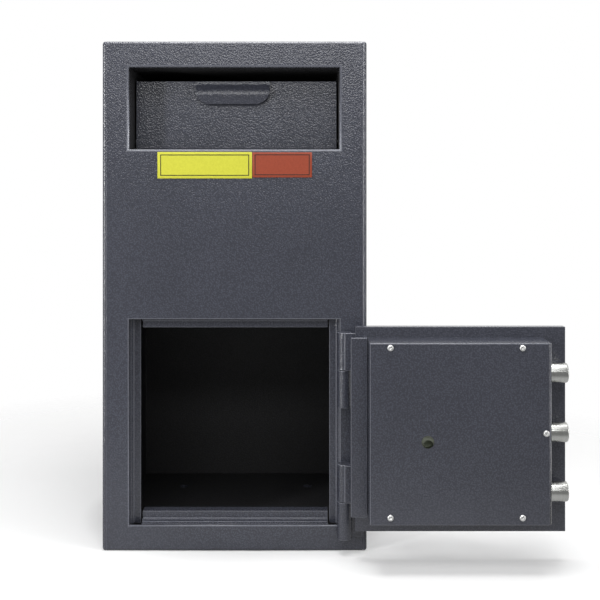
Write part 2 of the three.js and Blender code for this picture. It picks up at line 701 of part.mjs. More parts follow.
// Each hinge is a lower barrel on the body, an upper one on the door, and a pin in both
function makeHinge(door, place, split) {
  const bore = boreRadius(HINGE_PIN_RADIUS, RUNNING_GAP, MID_SIDES);
  const half = (z0, z1, leafX0, leafX1, boreStart, boreEnd) => {
    const barrel = rodZ(BARREL_RADIUS, z0, z1, AXIS_X, AXIS_Y, MID_SIDES);
    const leafBack = FRONT - SEAM;
    const leaf = slab(leafX0, leafX1, leafBack - LEAF_SHEET, leafBack, z0, z1);
    const hole = rodZ(bore, boreStart, boreEnd, AXIS_X, AXIS_Y, MID_SIDES);
    return cut(join(barrel, leaf), hole);
  };
  const low = split - BARREL_LENGTH;
  const high = split + BARREL_LENGTH;
  const under = split - BARREL_GAP / 2;
  const over = split + BARREL_GAP / 2;
  const pinLow = low + PIN_CLEAR + PIN_CLEAR;
  const pinHigh = high - PIN_CLEAR - PIN_CLEAR;
  const boreLow = pinLow - PIN_CLEAR;
  const boreHigh = pinHigh + PIN_CLEAR;
  const bodyHalf = half(low, under, AXIS_X, AXIS_X + BODY_LEAF_REACH, pinLow - SEAM, split);
  const doorHalf = half(over, high, AXIS_X - DOOR_LEAF_REACH, AXIS_X, split, boreHigh);
  const pin = rodZ(HINGE_PIN_RADIUS, boreLow + PIN_CLEAR, pinHigh, AXIS_X, AXIS_Y, MID_SIDES);
  piece(safe, `${place}_hinge_body_half`, bodyHalf, finishes.coat);
  piece(door, `${place}_hinge_door_half`, doorHalf, finishes.coat);
  piece(safe, `${place}_hinge_pin`, pin, finishes.steel);
}

function makeDoorPlate(door) {
  const plate = slab(DOOR_LEFT, DOOR_RIGHT, FRONT, DOOR_INNER, DOOR_BOTTOM, DOOR_TOP);
  const before = FRONT - CUT_OVERRUN;
  const behind = DOOR_INNER + CUT_OVERRUN;
  const handleBore = boreRadius(SPINDLE_RADIUS, RUNNING_GAP, MID_SIDES);
  const dialBore = boreRadius(DIAL_SPINDLE_RADIUS, RUNNING_GAP, MID_SIDES);
  const handleHole = rodY(handleBore, before, behind, HANDLE_X, HANDLE_Z, MID_SIDES);
  const dialHole = rodY(dialBore, before, behind, DIAL_X, DIAL_Z, MID_SIDES);
  piece(door, 'door_plate', cut(plate, handleHole, dialHole), finishes.coat);
}

// Places of the cover screws, in x and z: four go into posts, the last into the bolt guide
const POST_PLACES = [
  [SCREW_FAR_COLUMN, COVER_TOP - SCREW_INSET],
  [SCREW_NEAR_COLUMN, COVER_TOP - SCREW_INSET],
  [SCREW_FAR_COLUMN, COVER_BOTTOM + SCREW_INSET + SCREW_HEAD_RADIUS],
  [SCREW_NEAR_COLUMN, COVER_BOTTOM + SCREW_INSET + SCREW_HEAD_RADIUS],
];
const GUIDE_SCREW_PLACE = [COVER_LEFT + SCREW_EDGE_INSET, BOLT_MIDDLE + SCREW_INSET];
const SCREW_PLACES = [...POST_PLACES, GUIDE_SCREW_PLACE];

// Folded cover, open towards the door plate, slotted for the bolts
function makeCover(door) {
  const back = DOOR_INNER + SEAM;
  const round = COVER_ROUND;
  const outer = [
    [COVER_RIGHT, back],
    [COVER_RIGHT, COVER_FACE],
    ...arcPoints(COVER_LEFT + round, COVER_FACE - round, round, Math.PI / 2, Math.PI, ROUND_STEPS),
    [COVER_LEFT, back],
  ];
  const box = alongZ(outline(outer), COVER_BOTTOM, COVER_TOP);
  const sheet = COVER_SHEET;
  const innerRound = round - sheet;
  const inner = [
    [COVER_RIGHT - sheet, back - CUT_OVERRUN],
    [COVER_RIGHT - sheet, COVER_FACE - sheet],
    ...arcPoints(COVER_LEFT + round, COVER_FACE - round, innerRound, Math.PI / 2, Math.PI, ROUND_STEPS),
    [COVER_LEFT + sheet, back - CUT_OVERRUN],
  ];
  const tools = [alongZ(outline(inner), COVER_BOTTOM + sheet, COVER_TOP - sheet)];
  const slotHalf = BOLT_RADIUS + GUIDE_CLEAR;
  for (const step of [-1, 0, 1]) {
    const z = BOLT_MIDDLE + step * BOLT_PITCH;
    const x0 = COVER_LEFT - CUT_OVERRUN;
    const x1 = COVER_LEFT + sheet + SEAM;
    tools.push(slab(x0, x1, back - CUT_OVERRUN, BOLT_Y, z - slotHalf, z + slotHalf));
    tools.push(rodX(slotHalf, x0, x1, BOLT_Y, z, MID_SIDES));
  }
  const holeStart = COVER_FACE - sheet - SEAM;
  const holeEnd = COVER_FACE + CUT_OVERRUN;
  for (const [x, z] of SCREW_PLACES) {
    tools.push(rodY(SCREW_RADIUS + SCREW_CLEAR, holeStart, holeEnd, x, z, SMALL_SIDES));
  }
  tools.push(rodY(KEY_HOLE_RADIUS, holeStart, holeEnd, KEY_HOLE_X, KEY_HOLE_Z, MID_SIDES));
  piece(door, 'door_cover', cut(box, ...tools), finishes.coat);
}

// Screws through the cover into posts that stand on the door plate
function makeCoverScrews(door) {
  const postEnd = COVER_FACE - COVER_SHEET - SEAM;
  const headBase = COVER_FACE + SEAM;
  const tip = headBase - SCREW_LENGTH;
  POST_PLACES.forEach(([x, z], index) => {
    const post = rodY(POST_RADIUS, DOOR_INNER + SEAM, postEnd, x, z, SMALL_SIDES);
    const threaded = rodY(SCREW_RADIUS + SCREW_CLEAR, tip - SEAM, postEnd + CUT_OVERRUN, x, z, SMALL_SIDES);
    piece(door, `cover_post_${index + 1}`, cut(post, threaded), finishes.steel);
  });
  SCREW_PLACES.forEach(([x, z], index) => {
    const shank = rodY(SCREW_RADIUS, tip, headBase + SEAM, x, z, SMALL_SIDES);
    const head = rodY(SCREW_HEAD_RADIUS, headBase, headBase + SCREW_HEAD, x, z, SMALL_SIDES);
    const socketEnd = headBase + SCREW_HEAD;
    const socket = rodY(SCREW_SOCKET_RADIUS, socketEnd - SCREW_SOCKET, socketEnd + CUT_OVERRUN, x, z, SOCKET_SIDES);
    piece(door, `cover_screw_${index + 1}`, cut(join(shank, head), socket), finishes.chrome);
  });
}

// Angle bar whose lip hooks behind the jamb on the hinge side when the door is shut
function makeDeadBar(door) {
  const webLeft = COVER_RIGHT + DEAD_BAR_COVER_GAP;
  const webRight = webLeft + DEAD_BAR_SHEET;
  const back = DOOR_INNER + SEAM;
  const lipFront = DOOR_INNER + DEAD_BAR_DEPTH - DEAD_BAR_SHEET;
  const lipBack = DOOR_INNER + DEAD_BAR_DEPTH;
  const tip = OPENING_RIGHT - DEAD_BAR_TIP_GAP;
  const section = outline([
    [webLeft, back],
    [webRight, back],
    [webRight, lipFront],
    [tip, lipFront],
    [tip, lipBack],
    [webLeft, lipBack],
  ]);
  const z0 = COVER_BOTTOM - DEAD_BAR_BOTTOM_EXTRA;
  const z1 = COVER_TOP + DEAD_BAR_TOP_EXTRA;
  piece(door, 'dead_bar', alongZ(section, z0, z1), finishes.coat);
}

// Channel that guides the bolts, welded to the door plate; its outer flange takes one cover screw
function makeBoltGuide(door) {
  const x0 = COVER_LEFT + COVER_SHEET + GUIDE_GAP;
  const x1 = x0 + GUIDE_SHEET;
  const y0 = DOOR_INNER + SEAM;
  const y1 = COVER_FACE - COVER_SHEET - SEAM;
  const z0 = BOLT_LOW - GUIDE_OVERHANG;
  const z1 = BOLT_HIGH + GUIDE_OVERHANG;
  const section = outline([
    [x0, y0],
    [x0 + GUIDE_FOOT, y0],
    [x0 + GUIDE_FOOT, y0 + GUIDE_SHEET],
    [x1, y0 + GUIDE_SHEET],
    [x1, y1 - GUIDE_SHEET],
    [x0 + GUIDE_FOOT, y1 - GUIDE_SHEET],
    [x0 + GUIDE_FOOT, y1],
    [x0 + GUIDE_CHAMFER, y1],
    [x0, y1 - GUIDE_CHAMFER],
  ]);
  const tools = [];
  const bore = boreRadius(BOLT_RADIUS, RUNNING_GAP, BIG_SIDES);
  for (const step of [-1, 0, 1]) {
    tools.push(rodX(bore, x0 - SEAM, x1 + SEAM, BOLT_Y, BOLT_MIDDLE + step * BOLT_PITCH, BIG_SIDES));
  }
  const [screwX, screwZ] = GUIDE_SCREW_PLACE;
  const tapped = rodY(SCREW_RADIUS + SCREW_CLEAR, y1 - GUIDE_SHEET - SEAM, y1 + SEAM, screwX, screwZ, SMALL_SIDES);
  tools.push(tapped);
  piece(door, 'bolt_guide', cut(alongZ(section, z0, z1), ...tools), finishes.steel);
}

function makeBolts(door) {
  const names = ['bolt_bottom', 'bolt_middle', 'bolt_top'];
  names.forEach((name, index) => {
    const z = BOLT_MIDDLE + (index - 1) * BOLT_PITCH;
    const length = CARRIAGE_FRONT - SEAM - BOLT_TIP;
    const tipArc = arcPoints(BOLT_RADIUS - BOLT_TIP_ROUND, BOLT_TIP_ROUND, BOLT_TIP_ROUND, -Math.PI / 2, 0, ROUND_STEPS);
    const tenon = length + SEAM + CARRIAGE_WIDTH;
    const profile = [
      [0, 0],
      ...tipArc,
      [BOLT_RADIUS, length],
      [BOLT_TENON_RADIUS, length],
      [BOLT_TENON_RADIUS, tenon],
      [0, tenon],
    ];
    const points = profile.map(([radius, along]) => new THREE.Vector2(radius, along));
    const bolt = new THREE.LatheGeometry(points, BIG_SIDES).rotateZ(-Math.PI / 2);
    piece(door, name, bolt.translate(BOLT_TIP, BOLT_Y, z), finishes.chrome);
  });
}

// Bar that carries the bolts, with a slotted tongue for the crank pin
function makeCarriage(door) {
  const x1 = CARRIAGE_FRONT + CARRIAGE_WIDTH;
  const y0 = BOLT_Y - CARRIAGE_DEPTH / 2;
  const z0 = BOLT_LOW - CARRIAGE_OVERHANG;
  const z1 = BOLT_HIGH + CARRIAGE_OVERHANG;
  const bar = slab(CARRIAGE_FRONT, x1, y0, y0 + CARRIAGE_DEPTH, z0, z1);
  const tongueLow = HANDLE_Z - TONGUE_BELOW;
  const tongueHigh = HANDLE_Z + TONGUE_ABOVE;
  const tongueEnd = HANDLE_X + TONGUE_PAST_SPINDLE;
  const tongue = slab(CARRIAGE_FRONT, tongueEnd, y0, y0 + TONGUE_SHEET, tongueLow, tongueHigh);
  const pinX = HANDLE_X - BOLT_THROW / 2;
  const slotHalf = CRANK_PIN_RADIUS + SLOT_CLEAR;
  const slotLow = HANDLE_Z + CRANK_RADIUS * Math.cos(HANDLE_TURN / 2) - slotHalf - SLOT_MARGIN;
  const slotHigh = HANDLE_Z + CRANK_RADIUS + slotHalf + SLOT_MARGIN;
  const slotEnd = y0 + TONGUE_SHEET + SEAM;
  const slot = slab(pinX - slotHalf, pinX + slotHalf, y0 - SEAM, slotEnd, slotLow, slotHigh);
  const spindleWay = BOLT_THROW + SPINDLE_RADIUS + SLOT_CLEAR;
  const spindleTop = HANDLE_Z + SPINDLE_RADIUS + SLOT_CLEAR;
  const way = slab(HANDLE_X - spindleWay, HANDLE_X + SPINDLE_RADIUS + SLOT_CLEAR, y0 - SEAM, slotEnd,
    tongueLow - SEAM, spindleTop);
  const bore = boreRadius(BOLT_TENON_RADIUS, RUNNING_GAP, BIG_SIDES);
  const tenons = [-1, 0, 1].map((step) => (
    rodX(bore, CARRIAGE_FRONT - SEAM, x1 + SEAM, BOLT_Y, BOLT_MIDDLE + step * BOLT_PITCH, BIG_SIDES)
  ));
  piece(door, 'bolt_carriage', cut(join(bar, tongue), slot, way, ...tenons), finishes.steel);
}

// Lever on the outside, its spindle, and the crank on the inside
function makeHandle(door) {
  const bore = boreRadius(SPINDLE_RADIUS, RUNNING_GAP, MID_SIDES);
  const roseFront = FRONT - SEAM - ROSE_DEPTH;
  const rose = rodY(ROSE_RADIUS, roseFront, FRONT - SEAM, HANDLE_X, HANDLE_Z, BIG_SIDES);
  const roseHole = rodY(bore, roseFront - SEAM, FRONT, HANDLE_X, HANDLE_Z, MID_SIDES);
  piece(door, 'handle_rose', cut(rose, roseHole), finishes.chrome);
  const hubBack = roseFront - SEAM;
  const hubFront = hubBack - HUB_DEPTH;
  const hub = rodY(HUB_RADIUS, hubFront, hubBack, HANDLE_X, HANDLE_Z, BIG_SIDES);
  const leverEnd = HANDLE_Z - LEVER_LENGTH;
  const lever = outline([
    [HANDLE_X - LEVER_ROOT, HANDLE_Z],
    [HANDLE_X + LEVER_ROOT, HANDLE_Z],
    ...arcPoints(HANDLE_X, leverEnd + LEVER_TIP, LEVER_TIP, 0, -Math.PI, ROUND_STEPS * 2),
  ].reverse());
  const leverBack = hubBack - LEVER_STAND_OFF;
  const leverBar = alongY(lever, leverBack - LEVER_DEPTH, leverBack);
  const crankStart = DOOR_INNER + CRANK_GAP;
  const crankEnd = crankStart + CRANK_SHEET;
  const spindle = rodY(SPINDLE_RADIUS, hubFront + HUB_DEPTH / 2, crankEnd, HANDLE_X, HANDLE_Z, MID_SIDES);
  piece(door, 'handle_lever', join(hub, leverBar, spindle), finishes.chrome);
  const angle = Math.PI / 2 + HANDLE_TURN / 2;
  const pinX = HANDLE_X + CRANK_RADIUS * Math.cos(angle);
  const pinZ = HANDLE_Z + CRANK_RADIUS * Math.sin(angle);
  const outer = [
    ...arcPoints(pinX, pinZ, CRANK_HALF_WIDTH, angle - Math.PI / 2, angle + Math.PI / 2, ROUND_STEPS * 2),
    ...arcPoints(HANDLE_X, HANDLE_Z, CRANK_HALF_WIDTH + SEAM, angle + Math.PI / 2,
      angle + FULL_TURN - Math.PI / 2, ROUND_STEPS * 2),
  ];
  const arm = alongY(outline(outer), crankStart, crankEnd);
  const pinEnd = BOLT_Y - CARRIAGE_DEPTH / 2 + TONGUE_SHEET + CRANK_GAP;
  const pin = rodY(CRANK_PIN_RADIUS, crankStart, pinEnd, pinX, pinZ, SMALL_SIDES);
  const spindleHole = rodY(bore, crankStart - SEAM, crankEnd + SEAM, HANDLE_X, HANDLE_Z, MID_SIDES);
  piece(door, 'handle_crank', cut(join(arm, pin), spindleHole), finishes.steel);
}

// Ring, dial, hard plate, lock case and its sliding bolt
function makeLock(door) {
  const ringFront = FRONT - SEAM - DIAL_RING_DEPTH;
  const ring = rodY(DIAL_RING_RADIUS, ringFront, FRONT - SEAM, DIAL_X, DIAL_Z, BIG_SIDES);
  const floorFront = FRONT - SEAM - DIAL_EDGE;
  const ringWell = rodY(DIAL_RING_BORE, ringFront - SEAM, floorFront, DIAL_X, DIAL_Z, BIG_SIDES);
  const bore = boreRadius(DIAL_SPINDLE_RADIUS, RUNNING_GAP, MID_SIDES);
  const ringHole = rodY(bore, ringFront - SEAM, FRONT, DIAL_X, DIAL_Z, MID_SIDES);
  piece(door, 'dial_ring', cut(ring, ringWell, ringHole), finishes.dial);
  const knobEdge = DIAL_KNOB_RADIUS - DIAL_KNOB_ROUND;
  const profile = [
    [0, 0],
    [DIAL_RADIUS, 0],
    [DIAL_RADIUS, DIAL_EDGE],
    [DIAL_SHOULDER, DIAL_FACE_DEPTH],
    [DIAL_KNOB_RADIUS, DIAL_FACE_DEPTH],
    [DIAL_KNOB_RADIUS, DIAL_KNOB_DEPTH - DIAL_KNOB_ROUND],
    [knobEdge, DIAL_KNOB_DEPTH],
    [0, DIAL_KNOB_DEPTH],
  ];
  const knob = turnedOut(profile, floorFront - DIAL_GAP, DIAL_X, DIAL_Z, BIG_SIDES);
  const lockFront = DOOR_INNER + SEAM + HARD_PLATE_SHEET + SEAM;
  const lockBack = lockFront + LOCK_DEPTH;
  const spindleEnd = lockFront + LOCK_DEPTH / 2;
  const spindle = rodY(DIAL_SPINDLE_RADIUS, floorFront - DIAL_EDGE, spindleEnd, DIAL_X, DIAL_Z, MID_SIDES);
  piece(door, 'dial', join(knob, spindle), finishes.dial);
  const lockLeft = DIAL_X - LOCK_WIDTH / 2;
  const lockRight = DIAL_X + LOCK_WIDTH / 2;
  const lockLow = DIAL_Z - LOCK_HEIGHT / 2;
  const lockHigh = DIAL_Z + LOCK_HEIGHT / 2;
  const margin = HARD_PLATE_MARGIN;
  const hard = slab(lockLeft, lockRight, DOOR_INNER + SEAM, lockFront - SEAM, lockLow - margin, lockHigh + margin);
  const hardHole = rodY(bore, DOOR_INNER, lockFront, DIAL_X, DIAL_Z, MID_SIDES);
  piece(door, 'hard_plate', cut(hard, hardHole), finishes.steel);
  const lockBolt = DIAL_Z;
  const boltHalf = LOCK_BOLT_WIDTH / 2;
  const boltY0 = BOLT_Y - CARRIAGE_DEPTH / 2 + TONGUE_SHEET / 2 - LOCK_BOLT_DEPTH / 2;
  const boltY1 = boltY0 + LOCK_BOLT_DEPTH;
  const clear = LOCK_BOLT_CLEAR;
  const keyX = KEY_HOLE_X + LOCK_KEY_SHIFT_X;
  const keyZ = KEY_HOLE_Z + LOCK_KEY_SHIFT_Z;
  const lockCase = cut(
    slab(lockLeft, lockRight, lockFront, lockBack, lockLow, lockHigh),
    rodY(bore, lockFront - SEAM, spindleEnd + SEAM, DIAL_X, DIAL_Z, MID_SIDES),
    slab(lockLeft - CUT_OVERRUN, lockLeft + LOCK_BOLT_LENGTH + clear, boltY0 - clear, boltY1 + clear,
      lockBolt - boltHalf - clear, lockBolt + boltHalf + clear),
    rodY(LOCK_KEY_RADIUS, lockBack - LOCK_KEY_DEPTH, lockBack + CUT_OVERRUN, keyX, keyZ, SMALL_SIDES),
  );
  piece(door, 'lock_case', lockCase, finishes.zinc);
  const bolt = slab(lockLeft - LOCK_BOLT_PROUD, lockLeft - LOCK_BOLT_PROUD + LOCK_BOLT_LENGTH, boltY0, boltY1,
    lockBolt - boltHalf, lockBolt + boltHalf);
  piece(door, 'lock_bolt', bolt, finishes.steel);
}

makeBodyPlates();
makeJamb();
makeHousing();
makeBaffle();
makeDrawer();
makePivot();
makeRestBar();
makePull();
makeChute();
makeLabels();

// The door turns about the hinge axis; its pieces keep the body's coordinates
const doorHang = new THREE.Group();
doorHang.position.set(AXIS_X, AXIS_Y, 0);
doorHang.rotation.z = DOOR_OPEN_ANGLE;
safe.add(doorHang);
const door = new THREE.Group();
door.position.set(-AXIS_X, -AXIS_Y, 0);
doorHang.add(door);

makeHinge(door, 'upper', DOOR_TOP - UPPER_HINGE_DROP);
makeHinge(door, 'lower', DOOR_BOTTOM + LOWER_HINGE_RISE);
makeDoorPlate(door);
makeCover(door);
makeCoverScrews(door);
makeDeadBar(door);
makeBoltGuide(door);
makeBolts(door);
makeCarriage(door);
makeHandle(door);
makeLock(door);

export default safe;
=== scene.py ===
"""Looks of a steel drop safe: a tilting deposit drawer above, and a bolted door that stands open below."""
import json
import math

import bmesh
import bpy
from mathutils import Matrix, Vector


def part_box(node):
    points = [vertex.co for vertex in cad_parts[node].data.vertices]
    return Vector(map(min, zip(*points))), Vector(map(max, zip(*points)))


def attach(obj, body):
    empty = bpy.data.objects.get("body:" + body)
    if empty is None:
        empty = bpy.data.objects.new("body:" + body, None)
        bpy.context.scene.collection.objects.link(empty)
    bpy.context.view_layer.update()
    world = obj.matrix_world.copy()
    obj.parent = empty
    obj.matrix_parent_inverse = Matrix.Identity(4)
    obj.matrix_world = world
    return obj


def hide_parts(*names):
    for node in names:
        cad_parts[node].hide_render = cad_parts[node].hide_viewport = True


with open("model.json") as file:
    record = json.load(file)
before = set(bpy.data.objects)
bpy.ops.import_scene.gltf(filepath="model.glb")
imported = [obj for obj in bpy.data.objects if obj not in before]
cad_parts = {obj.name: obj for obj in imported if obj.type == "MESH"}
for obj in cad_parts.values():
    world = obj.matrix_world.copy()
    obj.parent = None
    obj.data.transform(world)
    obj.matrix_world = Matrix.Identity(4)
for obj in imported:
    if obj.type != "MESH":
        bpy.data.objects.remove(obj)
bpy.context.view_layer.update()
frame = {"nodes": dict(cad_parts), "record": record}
scene = bpy.context.scene
record = frame["record"]
body_of = {node: body for body, nodes in record["behaviour"]["bodies"].items() for node in nodes}
slot_of = {part["node"]: part["material_slot"] for part in record["subparts"]}
MM = 0.001
HAMMER_GRAIN = 2.1 * MM
SHARP = math.radians(30)


# Materials


def linear(hex_colour):
    """An sRGB hex colour as the linear colour that a shader socket takes."""
    colour = []
    for start in (1, 3, 5):
        channel = int(hex_colour[start:start + 2], 16) / 255
        colour.append(channel / 12.92 if channel <= 0.04045 else ((channel + 0.055) / 1.055) ** 2.4)
    return (*colour, 1.0)


def add_node(tree, kind, values=None, links=None, **settings):
    """Adds one shader node with its settings, its fixed inputs and the outputs that feed it."""
    made = tree.nodes.new(kind)
    for name, value in settings.items():
        setattr(made, name, value)
    for socket, value in (values or {}).items():
        made.inputs[socket].default_value = value
    for socket, source in (links or {}).items():
        tree.links.new(source, made.inputs[socket])
    return made


def start_material(name, **surface):
    """A material with a Principled shader, its fixed values, and the object's coordinates in metres."""
    material = bpy.data.materials.new(name)
    material.use_nodes = True
    tree = material.node_tree
    shader = tree.nodes["Principled BSDF"]
    for socket, value in surface.items():
        shader.inputs[socket.replace("_", " ")].default_value = value
    place = add_node(tree, "ShaderNodeTexCoord").outputs["Object"]
    return material, tree, shader, place


def tint(tree, factor, first, second):
    """A colour that runs from the first to the second with the factor."""
    colours = {6: linear(first), 7: linear(second)}
    return add_node(tree, "ShaderNodeMix", colours, {0: factor}, data_type="RGBA").outputs[2]


def spread(tree, value, low, high, to_low, to_high):
    """A value taken from one range to another and held inside it."""
    values = {1: low, 2: high, 3: to_low, 4: to_high}
    return add_node(tree, "ShaderNodeMapRange", values, {0: value}).outputs[0]


def hammer_coat(name, dark, light, grain, lift, roughness):
    """Hammered powder coat: small cells flow together, and each crown is a little paler and smoother."""
    material, tree, shader, place = start_material(name, Specular_IOR_Level=0.7)
    cells = add_node(tree, "ShaderNodeTexVoronoi", {"Scale": 1 / grain, "Smoothness": 0.4},
                     {"Vector": place}, feature="SMOOTH_F1")
    grit = add_node(tree, "ShaderNodeTexNoise", {"Scale": 0.9 / grain, "Detail": 3.0, "Roughness": 0.6},
                    {"Vector": place})
    cloud = add_node(tree, "ShaderNodeTexNoise", {"Scale": 9.0, "Detail": 2.0}, {"Vector": place})
    crown = spread(tree, cells.outputs["Distance"], 0.1, 0.75, 1.0, 0.0)
    height = add_node(tree, "ShaderNodeMath", {}, {0: crown, 1: grit.outputs[0]}, operation="ADD").outputs[0]
    speck = spread(tree, height, 0.7, 1.5, 0.0, 1.0)
    colour = tint(tree, speck, dark, light)
    patch = spread(tree, cloud.outputs[0], 0.35, 0.65, 0.94, 1.05)
    shade = add_node(tree, "ShaderNodeVectorMath", {}, {0: colour, "Scale": patch}, operation="SCALE")
    tree.links.new(shade.outputs[0], shader.inputs["Base Color"])
    gloss = spread(tree, speck, 0.0, 1.0, roughness + 0.03, roughness - 0.03)
    tree.links.new(gloss, shader.inputs["Roughness"])
    bump = add_node(tree, "ShaderNodeBump", {"Strength": lift, "Distance": 0.35 * MM}, {"Height": height})
    tree.links.new(bump.outputs[0], shader.inputs["Normal"])
    return material


def grained_metal(name, dark, light, roughness, grain, stretch=(1, 1, 1), lift=0.1, sway=0.06):
    """Bare or plated metal: fine marks, drawn out along the way it was worked, sway its colour and gloss."""
    material, tree, shader, place = start_material(name, Metallic=1.0)
    drawn = add_node(tree, "ShaderNodeMapping", {"Scale": stretch}, {"Vector": place})
    marks = add_node(tree, "ShaderNodeTexNoise", {"Scale": 1 / grain, "Detail": 4.0},
                     {"Vector": drawn.outputs[0]})
    factor = spread(tree, marks.outputs[0], 0.3, 0.7, 0.0, 1.0)
    tree.links.new(tint(tree, factor, dark, light), shader.inputs["Base Color"])
    gloss = spread(tree, factor, 0.0, 1.0, roughness + sway, roughness - sway)
    tree.links.new(gloss, shader.inputs["Roughness"])
    bump = add_node(tree, "ShaderNodeBump", {"Strength": lift, "Distance": 0.05 * MM}, {"Height": factor})
    tree.links.new(bump.outputs[0], shader.inputs["Normal"])
    return material


def film(name, dark, light, roughness, grain, lift=0.05):
    """Vinyl, enamel or ink: almost even, with a faint orange peel."""
    material, tree, shader, place = start_material(name)
    peel = add_node(tree, "ShaderNodeTexNoise", {"Scale": 1 / grain, "Detail": 2.0}, {"Vector": place})
    factor = spread(tree, peel.outputs[0], 0.3, 0.7, 0.0, 1.0)
    tree.links.new(tint(tree, factor, dark, light), shader.inputs["Base Color"])
    gloss = spread(tree, factor, 0.0, 1.0, roughness + 0.04, roughness - 0.04)
    tree.links.new(gloss, shader.inputs["Roughness"])
    bump = add_node(tree, "ShaderNodeBump", {"Strength": lift, "Distance": 0.05 * MM}, {"Height": factor})
    tree.links.new(bump.outputs[0], shader.inputs["Normal"])
    return material


# Hammered powder coat on steel plate: the cells are about 2 mm across and catch the light as specks
coat = hammer_coat("hammered blue-grey powder coat", "#3a3c45", "#4b4d58", HAMMER_GRAIN, 0.6, 0.19)
# Over folded and sawn edges the coat pulls thin and smooth as it melts; its paler colour there is a painted
# highlight, standing in for the light the rounded edges catch, so they show as fine paler lines
edge_highlight_coat = film("smooth edge coat, paler as a painted highlight", "#5c5e67", "#6c6e77", 0.2, HAMMER_GRAIN)
# The same coat sprayed thinly where no one looks, so it is duller; its darker colour is painted shade for
# the unlit inside of the safe
painted_shade_inner_coat = hammer_coat("inner coat darkened as painted shade", "#1e1e20", "#2e2e31", HAMMER_GRAIN, 0.3, 0.6)
# Turned steel bar with satin nickel: faint rings of colour run round it, and its gloss is even
satin_nickel = grained_metal("turned satin nickel", "#b3b4b1", "#bcbdba", 0.27, 3 * MM, (1, 0.02, 0.02),
                             lift=0.0, sway=0.0)
# Cold-rolled steel, oiled: dull, with a soft mottle
plain_steel = grained_metal("plain cold-rolled steel", "#7d7d7a", "#979792", 0.42, 1.5 * MM, (1, 1, 0.15))
# Bright zinc on a pressed screw
bright_zinc = grained_metal("bright zinc plating", "#cfd0d0", "#e6e6e4", 0.38, 0.6 * MM)
# Die-cast zinc, as it leaves the tumbler: grey and faintly green
cast_zinc = grained_metal("die-cast zinc", "#8f9487", "#a5aa9c", 0.62, 0.8 * MM, lift=0.2)
# Polished chrome over a casting
chrome = grained_metal("satin chrome", "#c4c4c4", "#d6d6d5", 0.2, 0.7 * MM)
# Black stove enamel on the dial and its ring
black_enamel = film("black stove enamel", "#131416", "#1b1c1e", 0.3, 0.8 * MM)
# White paint wiped into the engraved marks
white_fill = film("white dial paint", "#dcdcd6", "#ebebe6", 0.5, 0.8 * MM)
# Vinyl labels, blank inside their thin printed rules
yellow_vinyl = film("yellow vinyl", "#cac937", "#d2d13f", 0.42, 2 * MM)
yellow_rule = film("olive ink on yellow vinyl", "#34340f", "#3c3c14", 0.45, 2 * MM)
orange_vinyl = film("orange-brown vinyl", "#8f3b22", "#9a4228", 0.42, 2 * MM)
orange_rule = film("dark ink on orange vinyl", "#3a1a11", "#431f15", 0.45, 2 * MM)

finish_of = {
    "powder_coat": coat,
    "dark_inside": painted_shade_inner_coat,
    "satin_bolt": satin_nickel,
    "bare_steel": plain_steel,
    "screw_zinc": bright_zinc,
    "lock_zinc": cast_zinc,
    "dial_black": black_enamel,
    "handle_chrome": chrome,
    "yellow_plate": yellow_vinyl,
    "orange_plate": orange_vinyl,
}


# Pieces


def show(bm, name, node, materials, stands_for=True):
    """Turns a bmesh into a piece that rides with the CAD node's body, and stands for that node."""
    mesh = bpy.data.meshes.new(name)
    bm.to_mesh(mesh)
    bm.free()
    mesh.shade_smooth()
    for material in materials:
        mesh.materials.append(material)
    piece = bpy.data.objects.new(name, mesh)
    scene.collection.objects.link(piece)
    piece.modifiers.new("flat faces stay flat", "WEIGHTED_NORMAL")
    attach(piece, body_of[node])
    if stands_for:
        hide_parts(node)
    return piece


def merged(node):
    """A merged copy of a CAD node's mesh, with its flat faces whole again."""
    bm = bmesh.new()
    bm.from_mesh(frame["nodes"][node].data)
    bmesh.ops.remove_doubles(bm, verts=bm.verts, dist=1e-6)
    bmesh.ops.dissolve_limit(bm, angle_limit=math.radians(1), verts=bm.verts, edges=bm.edges)
    return bm


def round_edges(bm, radius, wanted=None, material=-1):
    """Rounds the sharp edges, or the wanted ones among them; the rounding may have its own material slot."""
    sharp = [edge for edge in bm.edges if len(edge.link_faces) == 2 and edge.calc_face_angle() > SHARP]
    if wanted:
        sharp = [edge for edge in sharp if wanted((edge.verts[0].co + edge.verts[1].co) / 2)]
    bmesh.ops.bevel(bm, geom=sharp, offset=radius, offset_type="OFFSET", segments=3, profile=0.5,
                    affect="EDGES", material=material, clamp_overlap=True)


def rounded(node, radius, inner=None):
    """The CAD node again, with rounded edges that on powder coat take the paler painted-highlight coat;
    faces that point the inner way take the inner coat darkened as painted shade.
    """
    bm = merged(node)
    if slot_of[node] == "powder_coat":
        # On powder coat the rounding takes the paler coat, a painted edge highlight
        materials = [coat, edge_highlight_coat]
        round_edges(bm, radius, material=1)
    else:
        materials = [finish_of[slot_of[node]]]
        round_edges(bm, radius)
    if inner:
        for face in bm.faces:
            if face.normal.dot(Vector(inner)) > 0.9:
                face.material_index = len(materials)
        materials.append(painted_shade_inner_coat)
    return show(bm, f"{node}_rounded", node, materials)


def turned(profile, steps):
    """A closed shape turned round Z from pairs of radius and height."""
    bm = bmesh.new()
    rim = [bm.verts.new((radius, 0, height)) for radius, height in profile]
    line = [bm.edges.new(pair) for pair in zip(rim, rim[1:])]
    bmesh.ops.spin(bm, geom=rim + line, cent=(0, 0, 0), axis=(0, 0, 1), angle=2 * math.pi, steps=steps,
                   use_merge=True)
    bmesh.ops.remove_doubles(bm, verts=bm.verts, dist=1e-7)
    bmesh.ops.recalc_face_normals(bm, faces=bm.faces)
    return bm


def stand(bm, place, facing, up=(0, 0, 1)):
    """Moves a shape drawn round Z so that its Z points along facing, with its base at place."""
    z = Vector(facing).normalized()
    x = Vector(up).cross(z).normalized()
    turn = Matrix((x, z.cross(x), z)).transposed().to_4x4()
    bmesh.ops.transform(bm, matrix=Matrix.Translation(place) @ turn, verts=bm.verts)
    return bm


